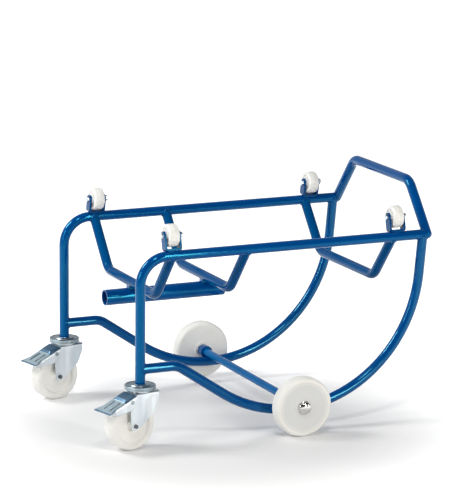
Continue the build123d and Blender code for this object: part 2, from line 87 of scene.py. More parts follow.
WHEEL_R = 75.0
WHEEL_W = 36.0
AXLE_R = 10.0
ROLLER_H = 50.0
ROLLER_LEAN = 14.0
ROLLER_R = 28.0
EAR_IN = 17.0
EAR_OUT = 22.0
EAR_W = 22.0
BASE_Z = 12.2
BOLT_R = 4.0
BOLT_END = 8.0
BOLT_OVERLAP = 0.2
HEX_AF = 13.0
HEX_HEAD_T = 5.5
HEX_NUT_T = 6.5
AXLE_HEAD_AF = 10.0
AXLE_WASHER_R = 8.2
AXLE_WASHER_T = 1.0
CAP_R = 17.5
CAP_DOME_R = 16.0
CAP_LIP = 1.5
CAP_HIGH = 10.5

X_LEG = joints["near_swivel_turn"]["pos_m"][0] / MM
AXLE_X = joints["near_wheel_spin"]["pos_m"][0] / MM
WHEEL_Y = joints["far_wheel_spin"]["pos_m"][1] / MM
SIDES = {"near": -1, "far": 1}


# Shape helpers, in millimetres
def rounded(corners, steps=5):
    """A closed outline whose (x, y, radius) corners are turned into arcs."""
    outline = []
    for i, (x, y, radius) in enumerate(corners):
        point = Vector((x, y))
        if not radius:
            outline.append(point)
            continue
        before = (Vector(corners[i - 1][:2]) - point).normalized()
        after = (Vector(corners[(i + 1) % len(corners)][:2]) - point).normalized()
        half = before.angle(after) / 2
        centre = point + (before + after).normalized() * (radius / sin(half))
        start = point + before * (radius / tan(half)) - centre
        end = point + after * (radius / tan(half)) - centre
        turn = atan2(start.x * end.y - start.y * end.x, start.dot(end))
        for k in range(steps + 1):
            c, s = cos(turn * k / steps), sin(turn * k / steps)
            outline.append(centre + Vector((c * start.x - s * start.y, s * start.x + c * start.y)))
    return outline


def lathe(bm, outline, segments=96):
    """Revolves a closed (radius, height) outline about Z."""
    rings = []
    for k in range(segments):
        a = 2 * pi * k / segments
        rings.append([bm.verts.new((p.x * cos(a), p.x * sin(a), p.y)) for p in outline])
    for k, ring in enumerate(rings):
        after = rings[(k + 1) % segments]
        for i in range(len(outline)):
            j = (i + 1) % len(outline)
            if outline[i].x < 1e-4 and outline[j].x < 1e-4:
                continue
            bm.faces.new((ring[i], after[i], after[j], ring[j]))


def grid(bm, rows):
    """Quads between rows of points that all have the same length."""
    verts = [[bm.verts.new(p) for p in row] for row in rows]
    for a, b in zip(verts, verts[1:]):
        for i in range(len(a) - 1):
            bm.faces.new((a[i], a[i + 1], b[i + 1], b[i]))


def shell(bm, outer, inner, lip):
    """A closed sheet between two grids of points of the same shape, with a rounded rim."""
    over = [[bm.verts.new(p) for p in row] for row in outer]
    under = [[bm.verts.new(p) for p in row] for row in inner]
    rows, columns = len(outer) - 1, len(outer[0]) - 1
    for i in range(rows):
        for j in range(columns):
            bm.faces.new((over[i][j], over[i][j + 1], over[i + 1][j + 1], over[i + 1][j]))
            bm.faces.new((under[i][j], under[i + 1][j], under[i + 1][j + 1], under[i][j + 1]))
    loop = [(0, j) for j in range(columns)] + [(i, columns) for i in range(rows)]
    loop += [(rows, j) for j in range(columns, 0, -1)] + [(i, 0) for i in range(rows, 0, -1)]
    rims, rim_depths = [], (0.22, 0.78)
    for i, j in loop:
        a, b = outer[i][j], inner[i][j]
        away = Vector((0, 0, 0))
        if i in (0, rows):
            away += (a - outer[1 if i == 0 else rows - 1][j]).normalized()
        if j in (0, columns):
            away += (a - outer[i][1 if j == 0 else columns - 1]).normalized()
        away = away.normalized() * lip
        upper, lower = (bm.verts.new(a.lerp(b, depth) + away) for depth in rim_depths)
        rims.append((over[i][j], upper, lower, under[i][j]))
    for k, rim in enumerate(rims):
        after = rims[(k + 1) % len(rims)]
        for m in range(3):
            bm.faces.new((rim[m], rim[m + 1], after[m + 1], after[m]))


def tube_along(bm, points, radii, closed, sides=10):
    """A bead that follows points, with a radius at each one."""
    n = len(points)
    rings = []
    for i, p in enumerate(points):
        if closed:
            tangent = points[(i + 1) % n] - points[i - 1]
        else:
            tangent = points[min(i + 1, n - 1)] - points[max(i - 1, 0)]
        tangent.normalize()
        side = tangent.cross(Vector((0.31, 0.57, 0.76))).normalized()
        lift = side.cross(tangent)
        ring = []
        for k in range(sides):
            a = 2 * pi * k / sides
            ring.append(bm.verts.new(p + (side * cos(a) + lift * sin(a)) * radii[i]))
        rings.append(ring)
    for i in range(n if closed else n - 1):
        a, b = rings[i], rings[(i + 1) % n]
        for k in range(sides):
            bm.faces.new((a[k], a[(k + 1) % sides], b[(k + 1) % sides], b[k]))
    if not closed:
        bm.faces.new(rings[0][::-1])
        bm.faces.new(rings[-1])


def smooth_step(low, high, value):
    t = min(max((value - low) / (high - low), 0.0), 1.0)
    return t * t * (3 - 2 * t)


def between(points, x):
    """Height of a rising-x polyline at x."""
    for a, b in zip(points, points[1:]):
        if x <= b.x:
            return a.y + (b.y - a.y) * (x - a.x) / max(b.x - a.x, 1e-9)
    return points[-1].y


def resample(points, count):
    """Points spread evenly along a polyline of 2-D points, its ends included."""
    lengths = [0.0]
    for a, b in zip(points, points[1:]):
        lengths.append(lengths[-1] + (b - a).length)
    out, k = [], 0
    for i in range(count):
        want = lengths[-1] * i / (count - 1)
        while k < len(points) - 2 and lengths[k + 1] < want:
            k += 1
        t = (want - lengths[k]) / max(lengths[k + 1] - lengths[k], 1e-9)
        out.append(points[k].lerp(points[k + 1], t))
    return out


def piece(name, bm, place, body, slot, stands_for=(), sharp=35.0, look=None):
    """Turns a millimetre mesh into a named piece in the shared frame that rides on a body."""
    bmesh.ops.remove_doubles(bm, verts=bm.verts[:], dist=1e-3)
    bmesh.ops.dissolve_degenerate(bm, edges=bm.edges[:], dist=1e-3)
    bmesh.ops.recalc_face_normals(bm, faces=bm.faces[:])
    bm.transform(place @ Matrix.Diagonal((MM, MM, MM, 1)))
    mesh = bpy.data.meshes.new(name)
    bm.to_mesh(mesh)
    bm.free()
    mesh.polygons.foreach_set("use_smooth", [True] * len(mesh.polygons))
    mesh.set_sharp_from_angle(angle=radians(sharp))
    obj = bpy.data.objects.new(name, mesh)
    scene.collection.objects.link(obj)
    obj.data.materials.append(LOOKS[look or slot])
    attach(obj, body)
    if stands_for:
        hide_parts(*stands_for)
    return obj


def thicken(obj, thickness, edge):
    """Gives a pressed sheet its thickness inwards and rounds its cut edges."""
    solid = obj.modifiers.new("sheet", "SOLIDIFY")
    solid.thickness = thickness * MM
    solid.offset = -1.0
    solid.use_even_offset = True
    soft = obj.modifiers.new("edges", "BEVEL")
    soft.width = edge * MM
    soft.segments = 2
    soft.limit_method = "ANGLE"
    soft.angle_limit = radians(50)
    soft.harden_normals = True


def at(x, y, z, *turns):
    """A place in the shared frame from millimetres and (degrees, axis) turns."""
    place = Matrix.Translation(Vector((x, y, z)) * MM)
    for degrees, axis in turns:
        place = place @ Matrix.Rotation(radians(degrees), 4, axis)
    return place


# Materials
def material(name):
    mat = bpy.data.materials.new(name)
    mat.use_nodes = True
    nodes, links = mat.node_tree.nodes, mat.node_tree.links
    return mat, nodes, links, nodes["Principled BSDF"]


def noise(nodes, links, scale, detail=3.0, roughness=0.5, stretch=None):
    """A noise texture in object coordinates, so that its scale is per metre."""
    coords = nodes.new("ShaderNodeTexCoord")
    texture = nodes.new("ShaderNodeTexNoise")
    texture.inputs["Scale"].default_value = scale
    texture.inputs["Detail"].default_value = detail
    texture.inputs["Roughness"].default_value = roughness
    if stretch:
        mapping = nodes.new("ShaderNodeMapping")
        mapping.inputs["Scale"].default_value = stretch
        links.new(coords.outputs["Object"], mapping.inputs["Vector"])
        links.new(mapping.outputs["Vector"], texture.inputs["Vector"])
    else:
        links.new(coords.outputs["Object"], texture.inputs["Vector"])
    return texture


def ramp(nodes, links, source, stops):
    """A colour ramp over a 0 to 1 source; stops are (position, colour or grey)."""
    node = nodes.new("ShaderNodeValToRGB")
    elements = node.color_ramp.elements
    while len(elements) < len(stops):
        elements.new(0.5)
    for element, (position, colour) in zip(elements, stops):
        element.position = position
        grey = isinstance(colour, (int, float))
        element.color = (colour, colour, colour, 1) if grey else (*colour, 1)
    links.new(source, node.inputs["Fac"])
    return node


def bump(nodes, links, height, strength, distance):
    node = nodes.new("ShaderNodeBump")
    node.inputs["Strength"].default_value = strength
    node.inputs["Distance"].default_value = distance
    links.new(height, node.inputs["Height"])
    return node


def make_blue_paint(name, low, high, gloss, tint, rough_low, rough_high):
    """Baked enamel: faint clouding, uneven gloss and a fine orange peel."""
    mat, nodes, links, shader = material(name)
    clouds = noise(nodes, links, 9.0, 4.0, 0.6)
    colour = ramp(nodes, links, clouds.outputs["Fac"], [(0.25, low), (0.75, high)])
    links.new(colour.outputs["Color"], shader.inputs["Base Color"])
    haze = noise(nodes, links, 60.0, 5.0, 0.65)
    rough = ramp(nodes, links, haze.outputs["Fac"], [(0.3, rough_low), (0.7, rough_high)])
    links.new(rough.outputs["Color"], shader.inputs["Roughness"])
    peel = noise(nodes, links, 420.0, 2.0, 0.4)
    skin = bump(nodes, links, peel.outputs["Fac"], 0.06, 0.0004)
    links.new(skin.outputs["Normal"], shader.inputs["Normal"])
    shader.inputs["Specular IOR Level"].default_value = gloss
    shader.inputs["Specular Tint"].default_value = (*tint, 1)
    return mat


def make_nylon(name, low, high):
    """Cast nylon: faint clouding, scuffed gloss and a fine grain."""
    mat, nodes, links, shader = material(name)
    clouds = noise(nodes, links, 22.0, 3.0, 0.55)
    colour = ramp(nodes, links, clouds.outputs["Fac"], [(0.3, low), (0.7, high)])
    links.new(colour.outputs["Color"], shader.inputs["Base Color"])
    scuffs = noise(nodes, links, 140.0, 6.0, 0.7)
    rough = ramp(nodes, links, scuffs.outputs["Fac"], [(0.35, 0.34), (0.7, 0.5)])
    links.new(rough.outputs["Color"], shader.inputs["Roughness"])
    grain = noise(nodes, links, 900.0, 2.0, 0.5)
    skin = bump(nodes, links, grain.outputs["Fac"], 0.05, 0.0002)
    links.new(skin.outputs["Normal"], shader.inputs["Normal"])
    return mat


def make_zinc(name, low, high, rough_low, rough_high):
    """Bright zinc plate: soft upright bands over drawn sheet steel."""
    mat, nodes, links, shader = material(name)
    bands = noise(nodes, links, 34.0, 2.0, 0.5, (1.0, 1.0, 0.06))
    colour = ramp(nodes, links, bands.outputs["Fac"], [(0.34, low), (0.62, high)])
    links.new(colour.outputs["Color"], shader.inputs["Base Color"])
    drawn = noise(nodes, links, 260.0, 4.0, 0.6, (1.0, 1.0, 0.12))
    rough = ramp(nodes, links, drawn.outputs["Fac"], [(0.3, rough_low), (0.7, rough_high)])
    links.new(rough.outputs["Color"], shader.inputs["Roughness"])
    skin = bump(nodes, links, drawn.outputs["Fac"], 0.015, 0.0002)
    links.new(skin.outputs["Normal"], shader.inputs["Normal"])
    shader.inputs["Metallic"].default_value = 1.0
    return mat


def make_chrome():
    """Polished chrome with faint smears."""
    mat, nodes, links, shader = material("polished_chrome")
    smears = noise(nodes, links, 70.0, 4.0, 0.6)
    rough = ramp(nodes, links, smears.outputs["Fac"], [(0.35, 0.05), (0.75, 0.12)])
    links.new(rough.outputs["Color"], shader.inputs["Roughness"])
    tint = ramp(nodes, links, smears.outputs["Fac"], [(0.3, (0.62, 0.61, 0.60)), (0.7, (0.70, 0.69, 0.68))])
    links.new(tint.outputs["Color"], shader.inputs["Base Color"])
    shader.inputs["Metallic"].default_value = 1.0
    return mat


LOOKS = {
    "blue_paint": make_blue_paint(
        "blue_gloss", (0.0, 0.054, 0.234), (0.0, 0.066, 0.274), 0.58, (0.08, 0.78, 0.98), 0.06, 0.12
    ),
    "runner_paint": make_blue_paint(
        "blue_bright", (0.0, 0.054, 0.224), (0.0, 0.066, 0.264), 0.62, (0.20, 0.82, 1.0), 0.05, 0.10
    ),
    "cross_paint": make_blue_paint(
        "blue_satin", (0.0, 0.060, 0.205), (0.0, 0.072, 0.240), 0.16, (0.10, 0.80, 1.0), 0.10, 0.16
    ),
    "axle_paint": make_blue_paint(
        "blue_axle", (0.0, 0.115, 0.350), (0.0, 0.135, 0.400), 0.14, (0.05, 0.80, 1.0), 0.12, 0.18
    ),
    # Painted shade: the roller brackets' paint is darker than the rest of the paint
    "bracket_painted_shade": make_blue_paint(
        "blue_bracket_in_painted_shade", (0.0, 0.044, 0.180), (0.0, 0.056, 0.220), 0.30, (0.15, 0.80, 1.0), 0.22, 0.32
    ),
    "nylon": make_nylon("cast_nylon", (0.90, 0.89, 0.845), (0.94, 0.935, 0.90)),
    # Painted shade: greyer nylon for the recessed webs of wheels and rollers, and paler nylon for the band round a
    # web
    "nylon_painted_shade": make_nylon("nylon_in_painted_shade", (0.73, 0.74, 0.73), (0.77, 0.775, 0.76)),
    "nylon_painted_half_shade": make_nylon("nylon_in_painted_half_shade", (0.80, 0.80, 0.775), (0.84, 0.84, 0.815)),
    "zinc": make_zinc("bright_zinc", (0.66, 0.725, 0.77), (0.80, 0.855, 0.88), 0.34, 0.44),
    "head_zinc": make_zinc("grey_zinc", (0.29, 0.36, 0.395), (0.365, 0.425, 0.455), 0.28, 0.38),
    "pedal_zinc": make_zinc("blue_zinc", (0.68, 0.86, 0.93), (0.78, 0.94, 0.99), 0.30, 0.38),
    # Painted shade: a darker zinc for the pedal's hood and front lip
    "pedal_painted_shade": make_zinc("zinc_in_painted_shade", (0.10, 0.20, 0.31), (0.16, 0.27, 0.39), 0.34, 0.46),
    # Painted shade: near-black, for the grooves beside the pedal's ribs and the caster's axle bolt head
    "dark_painted_shade": make_zinc("steel_in_painted_shade", (0.10, 0.11, 0.12), (0.16, 0.17, 0.18), 0.25, 0.4),
    "chrome": make_chrome(),
    "bare_steel": make_zinc("plain_steel", (0.30, 0.30, 0.31), (0.42, 0.42, 0.43), 0.35, 0.5),
}

# Nodes whose paint differs from that of their slot
NODE_LOOKS = {
    "front_saddle": "cross_paint", "middle_saddle": "cross_paint", "rear_saddle": "cross_paint",
    "axle_rod": "axle_paint", "near_runner": "runner_paint", "far_runner": "runner_paint",
}
for entry in frame["record"]["subparts"]:
    node = frame["nodes"][entry["node"]]
    look = NODE_LOOKS.get(entry["node"], entry["material_slot"])
    node.data.materials.clear()
    node.data.materials.append(LOOKS[look])


# Turned pieces: wheels, rollers, heads and caps
def both_sides(face, seam_half, seam_h):
    """A turned section from one face: the tread with its parting line, then the face mirrored."""
    radius = face[-1][0]
    seam = [(radius, seam_half, 0), (radius + seam_h, 0, 0), (radius, -seam_half, 0)]
    return face + seam + [(r, -h, f) for r, h, f in reversed(face)]


def wheel_section(radius, half, edge, lip, dish, taper, hub_r, hub_half, bore):
    """The section of a moulded wheel, as corners from the bore out to the tread and back."""
    rim = radius - edge - lip
    band = 0.2
    face = [
        (bore, hub_half, 0.5), (hub_r, hub_half, 1.0), (hub_r + 1.5, half - dish, 2.0),
        (rim - taper, half - dish, 2.5), (rim - band * taper, half - band * dish, 0),
        (rim, half, 1.6), (radius, half, edge),
    ]
    return both_sides(face, seam_half=0.35, seam_h=0.12)


def painted_shade_faces(bm, reach, band, chosen):
    """Paints shade on the web of a turned piece: a greyer second material, with a band of paler painted shade, a
    third material, around it.
    """
    for face in bm.faces:
        middle = face.calc_center_median()
        if middle.xy.length < reach and chosen(middle.z):
            face.material_index = 1 if middle.xy.length < reach - band else 2


def caster_place(side):
    """The frame of a caster: on the floor under its leg, X along its trail."""
    return at(X_LEG, SIDES[side] * SIDE_Y, 0, (180 + SWIVEL, "Z"))


for side, sign in SIDES.items():
    bm = bmesh.new()
    section = wheel_section(
        CASTER_R, CASTER_W / 2, edge=9.0, lip=6.5, dish=9.0, taper=4.2, hub_r=12.0, hub_half=22.7, bore=6.05
    )
    lathe(bm, rounded(section), 128)
    bm.transform(Matrix.Translation((TRAIL, 0, CASTER_R)) @ Matrix.Rotation(pi / 2, 4, "X"))
    place = caster_place(side)
    piece(f"{side}_caster_tyre", bm, place, f"{side}_caster_roll", "nylon", [f"{side}_caster_wheel"])

    bm = bmesh.new()
    section = wheel_section(
        WHEEL_R, WHEEL_W / 2, edge=8.0, lip=3.0, dish=2.0, taper=36.0, hub_r=22.0, hub_half=17.6, bore=10.05
    )
    lathe(bm, rounded(section), 128)
    # Painted shade on the fixed wheel's outer face: the web is greyer nylon, with a paler painted band round it
    painted_shade_faces(bm, reach=WHEEL_R - 11.0, band=7.0, chosen=lambda z: -sign * z > WHEEL_W / 2 - 6)
    place = at(AXLE_X, sign * WHEEL_Y, WHEEL_R, (90, "X"))
    disc = piece(f"{side}_wheel_disc", bm, place, f"{side}_wheel_roll", "nylon", [f"{side}_wheel"])
    disc.data.materials.append(LOOKS["nylon_painted_shade"])
    disc.data.materials.append(LOOKS["nylon_painted_half_shade"])

    bm = bmesh.new()
    shoulder, groove, core = LEG_BOTTOM - 2.5, LEG_BOTTOM - 0.9, LEG_BOTTOM - 4
    inside = shoulder - 5
    lathe(bm, rounded([
        (KING_R, LEG_BOTTOM, 0), (16.5, LEG_BOTTOM, 0.8), (17.0, groove, 0.5), (18.5, groove, 0.5),
        (19.0, LEG_BOTTOM, 0.8), (25.0, LEG_BOTTOM, 2.0), (27.6, shoulder - 0.6, 1.2),
        (32.0, shoulder - 0.8, 1.2), (34.6, shoulder + 0.9, 1.4), (HEAD_R, shoulder, 1.6),
        (HEAD_R, 152.2, 0.4), (37.7, 151.8, 0.3), (37.7, 151.0, 0.3), (HEAD_R, 150.6, 0.4),
        (HEAD_R, HEAD_LOW, 0.7), (35.5, HEAD_LOW, 0.5), (35.5, inside, 1.5), (28.0, inside, 1.0),
        (28.0, RACE_Z, 0.4), (16.0, RACE_Z, 0.4), (16.0, core, 1.0), (KING_R, core, 0),
    ]), 96)
    piece(
        f"{side}_head_pressing", bm, caster_place(side), "frame", "zinc", [f"{side}_caster_head"],
        look="head_zinc",
    )

    bm = bmesh.new()
    spring, seat = 3.4, 6.0
    dome = [(CAP_R, 0.0, 0), (CAP_R, CAP_LIP, 0.6), (CAP_DOME_R, CAP_LIP, 0.5), (CAP_DOME_R, spring, 0)]
    for a in range(9, 91, 9):
        dome.append((CAP_DOME_R * cos(radians(a)), spring + (CAP_HIGH - spring) * sin(radians(a)), 0))
    lathe(bm, rounded(dome + [(0, seat, 0), (AXLE_R, seat, 0), (AXLE_R, 0.0, 0)]), 72)
    inner = min(abs(corner.y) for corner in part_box(f"{side}_hub_cap")) / MM
    place = at(AXLE_X, sign * inner, WHEEL_R, (-sign * 90, "X"))
    piece(f"{side}_cap_dome", bm, place, "frame", "chrome", [f"{side}_hub_cap"])

roller_section = both_sides([
    (4.05, 16.7, 0.4), (10.0, 16.7, 0.8), (10.6, 13.6, 1.2), (19.6, 12.4, 1.0), (21.6, 14.0, 0.8),
    (ROLLER_R, 14.0, 6.0),
], seam_half=0.3, seam_h=0.1)
ROLLER_X = {end: joints[f"near_{end}_roller_spin"]["pos_m"][0] / MM for end in ("front", "rear")}


def roller_place(side, end):
    """The frame of a roller bracket: X along the rail, Z up through the roller."""
    return at(ROLLER_X[end], SIDES[side] * SIDE_Y, RAIL_Z, (SIDES[side] * ROLLER_LEAN, "X"))


for side in SIDES:
    for end in ROLLER_X:
        bm = bmesh.new()
        lathe(bm, rounded(roller_section), 96)
        # Painted shade on the roller's sides: the web inside the tread takes the greyer nylon
        painted_shade_faces(bm, reach=20.5, band=0.0, chosen=lambda z: abs(z) > 11)
        bm.transform(Matrix.Translation((0, 0, ROLLER_H)) @ Matrix.Rotation(pi / 2, 4, "Y"))
        disc = piece(
            f"{side}_{end}_roller_disc", bm, roller_place(side, end), f"{side}_{end}_roll", "nylon",
            [f"{side}_{end}_roller"],
        )
        disc.data.materials.append(LOOKS["nylon_painted_shade"])


# Fasteners
def hex_prism(bm, across, low, high, hole=0.0, steps=48):
    """A hexagon between two heights with its corners turned off at the top, and a bore if asked."""
    reach = across / 2
    uncut = 9.0
    rings = []
    # Each height with the largest radius there, as a share of half the width
    for height, cap in ((low, uncut), (high - 1.6, uncut), (high - 0.7, 1.075), (high, 0.965)):
        ring = []
        for k in range(steps):
            a = 2 * pi * k / steps
            flat = reach / cos((a + pi / 6) % (pi / 3) - pi / 6)
            r = min(flat, reach * cap)
            ring.append(bm.verts.new((r * cos(a), r * sin(a), height)))
        rings.append(ring)
    if hole:
        for height in (high, low):
            rings.append([
                bm.verts.new((hole * cos(2 * pi * k / steps), hole * sin(2 * pi * k / steps), height))
                for k in range(steps)
            ])
        rings.append(rings[0])
    for a, b in zip(rings, rings[1:]):
        for k in range(steps):
            bm.faces.new((a[k], a[(k + 1) % steps], b[(k + 1) % steps], b[k]))
    if not hole:
        for ring, height in ((rings[0][::-1], low), (rings[-1], high)):
            middle = bm.verts.new((0, 0, height))
            for k in range(steps):
                bm.faces.new((ring[k], ring[(k + 1) % steps], middle))


def shank(bm, radius, low, high, chamfer=0.8):
    lathe(bm, rounded([
        (0, low, 0), (radius - chamfer, low, 0), (radius, low + chamfer, 0),
        (radius, high - chamfer, 0), (radius - chamfer, high, 0), (0, high, 0),
    ]), 48)


def washer(bm, radius, hole, low, high):
    lathe(bm, rounded([(hole, low, 0), (radius, low, 0.3), (radius, high, 0.5), (hole, high, 0)]), 48)


for side in SIDES:
    for end in ROLLER_X:
        turn = Matrix.Translation((0, 0, ROLLER_H)) @ Matrix.Rotation(-pi / 2, 4, "Y")
        bm = bmesh.new()
        place = roller_place(side, end)
        hex_prism(bm, HEX_AF, EAR_OUT, EAR_OUT + HEX_HEAD_T)
        shank(bm, BOLT_R, -EAR_OUT - BOLT_END, EAR_OUT + BOLT_OVERLAP)
        bm.transform(turn)
        piece(f"{side}_{end}_hex_bolt", bm, place, "frame", "zinc", [f"{side}_{end}_roller_bolt"])
        bm = bmesh.new()
        hex_prism(bm, HEX_AF, EAR_OUT, EAR_OUT + HEX_NUT_T, BOLT_R)
        bm.transform(turn @ Matrix.Rotation(pi, 4, "X"))
        piece(f"{side}_{end}_hex_nut", bm, place, "frame", "zinc", [f"{side}_{end}_roller_nut"])

    axle = Matrix.Translation((TRAIL, 0, CASTER_R)) @ Matrix.Rotation(-pi / 2, 4, "X")
    bm = bmesh.new()
    place = caster_place(side)
    washer(bm, AXLE_WASHER_R, BOLT_R, FORK_OUT, FORK_OUT + AXLE_WASHER_T)
    plain = len(bm.faces)
    hex_prism(bm, AXLE_HEAD_AF, FORK_OUT + AXLE_WASHER_T, FORK_OUT + HEX_HEAD_T)
    # The hex head takes a near-black painted shade, standing in for the shade of a recess
    bm.faces.ensure_lookup_table()
    for face in bm.faces[plain:]:
        face.material_index = 1
    shank(bm, BOLT_R, -FORK_OUT - BOLT_END, FORK_OUT + BOLT_OVERLAP)
    bm.transform(axle)
    obj = piece(f"{side}_caster_axle", bm, place, f"{side}_swivel", "zinc", [f"{side}_axle_bolt"])
    obj.data.materials.append(LOOKS["dark_painted_shade"])
    bm = bmesh.new()
    hex_prism(bm, HEX_AF, FORK_OUT, FORK_OUT + HEX_NUT_T, BOLT_R)
    bm.transform(axle @ Matrix.Rotation(pi, 4, "X"))
    piece(f"{side}_caster_nut", bm, place, f"{side}_swivel", "zinc", [f"{side}_axle_nut"])

    bm = bmesh.new()
    pin_r, head_r, dome_r = 3.0, 5.5, 4.6
    seat, shoulder, top = PEDAL_OUT + 0.3, PEDAL_OUT + 1.5, PEDAL_OUT + 1.9
    for turn in (-pi / 2, pi / 2):
        rivet = bmesh.new()
        lathe(rivet, rounded([
            (0, FORK_IN, 0), (pin_r, FORK_IN, 0), (pin_r, seat, 0), (head_r, seat, 0.3),
            (dome_r, shoulder, 1.0), (0, top, 0),
        ]), 40)
        rivet.transform(Matrix.Translation((PIVOT_X, 0, PIVOT_Z)) @ Matrix.Rotation(turn, 4, "X"))
        rivet_mesh = bpy.data.meshes.new("rivet_part")
        rivet.to_mesh(rivet_mesh)
        rivet.free()
        bm.from_mesh(rivet_mesh)
        bpy.data.meshes.remove(rivet_mesh)
    piece(
        f"{side}_pivot_rivets", bm, place, f"{side}_swivel", "zinc", [f"{side}_pedal_rivets"],
        look="head_zinc",
    )


# Pressed fork: one sheet bent over the crown, its edge following the cheek's outline
def fork_outline():
    """The lower edge of a cheek, from the crown's front round the axle boss to the pivot ear."""
    boss, boss_from, boss_turn, boss_steps = [], 222, 138, 14
    for k in range(boss_steps + 1):
        a = radians(boss_from + boss_turn * k / boss_steps)
        boss.append(Vector((TRAIL + BOSS_R * cos(a), CASTER_R + BOSS_R * sin(a))))
    front = rounded([
        (CROWN_FRONT, CROWN_TOP - 6.5, 0), (CROWN_FRONT + 4.5, CROWN_TOP - 22, 14),
        (TRAIL - 57, CASTER_R + 29.5, 12), (TRAIL - 20, CASTER_R - 2.5, 10),
        (boss[0].x, boss[0].y, 0), (0, 500, 0),
    ], 6)[:-1]
    rear = [Vector((PIVOT_X + 2, PIVOT_Z - 23.5)), Vector((PIVOT_X + PIVOT_EAR_R, PIVOT_Z))]
    return front + boss[1:] + rear


def make_fork(side):
    outline = resample(fork_outline(), 92)
    least_step, corner_step = 0.3, 1.8
    xs = [CROWN_REAR]
    for p in outline[::-1]:
        if abs(p.x - CROWN_REAR) > corner_step and min(abs(p.x - x) for x in xs) > least_step:
            xs.append(p.x)
    xs.sort()
    bend, corner_r, least_cheek = 5.0, 5.0, 0.8
    ear_z = PIVOT_Z + 10.5
    ear_top = [Vector((CROWN_REAR, ear_z))] + [
        Vector((PIVOT_X + x, PIVOT_Z + z))
        for x, z in ((-3, 6.0), (0, PIVOT_EAR_R), (3.0, 4.7), (4.8, 2.9), (PIVOT_EAR_R, 0))
    ]
    cheek_steps, arc_steps, top_steps = 16, 6, 14

    def half_width(x):
        """Half the fork's width; the crown's front corners are round."""
        inset = min(x - (CROWN_FRONT + corner_r), 0)
        return FORK_OUT - corner_r + sqrt(max(corner_r ** 2 - inset ** 2, 0))

    def swell(x, z):
        """The cheek's pressed relief: two soft upright bands that fade out at the boss and the pivot."""
        band = exp(-((x - 2.0) / 8.0) ** 2) - 0.6 * exp(-((x + 17.0) / 6.0) ** 2)
        fade = smooth_step(70, 92, z) * (1 - smooth_step(126, 137, z)) * (1 - smooth_step(16, 24, x))
        return 1.1 * band * fade

    def cheek(x, sign):
        low = between(outline, x)
        high = max(ear_z, low + least_cheek) if x <= CROWN_REAR else between(ear_top, x)
        zs = [low + (high - low) * k / cheek_steps for k in range(cheek_steps + 1)]
        return [Vector((x, sign * (half_width(x) + swell(x, z)), z)) for z in zs]

    bm = bmesh.new()
    crown_rows, near_rows, far_rows = [], [], []
    for x in xs:
        near, far = cheek(x, -1), cheek(x, 1)
        if x <= CROWN_REAR:
            w = half_width(x)
            over = [Vector((x, -w, CROWN_TOP - bend))]
            for k in range(1, arc_steps + 1):
                a = pi / 2 * k / arc_steps
                over.append(Vector((x, -w + bend * (1 - cos(a)), CROWN_TOP - bend + bend * sin(a))))
            for k in range(1, top_steps):
                over.append(Vector((x, (bend - w) + 2 * (w - bend) * k / top_steps, CROWN_TOP)))
            over += [Vector((p.x, -p.y, p.z)) for p in reversed(over[:arc_steps + 1])]
            crown_rows.append(near + over + far[::-1])
        if x >= CROWN_REAR:
            near_rows.append(near)
            far_rows.append(far)
    grid(bm, crown_rows)
    grid(bm, near_rows)
    grid(bm, far_rows)
    bmesh.ops.remove_doubles(bm, verts=bm.verts[:], dist=1e-3)
    place = caster_place(side)
    obj = piece(f"{side}_fork_pressing", bm, place, f"{side}_swivel", "zinc", [f"{side}_fork"], 180)
    thicken(obj, FORK_T, edge=0.7)


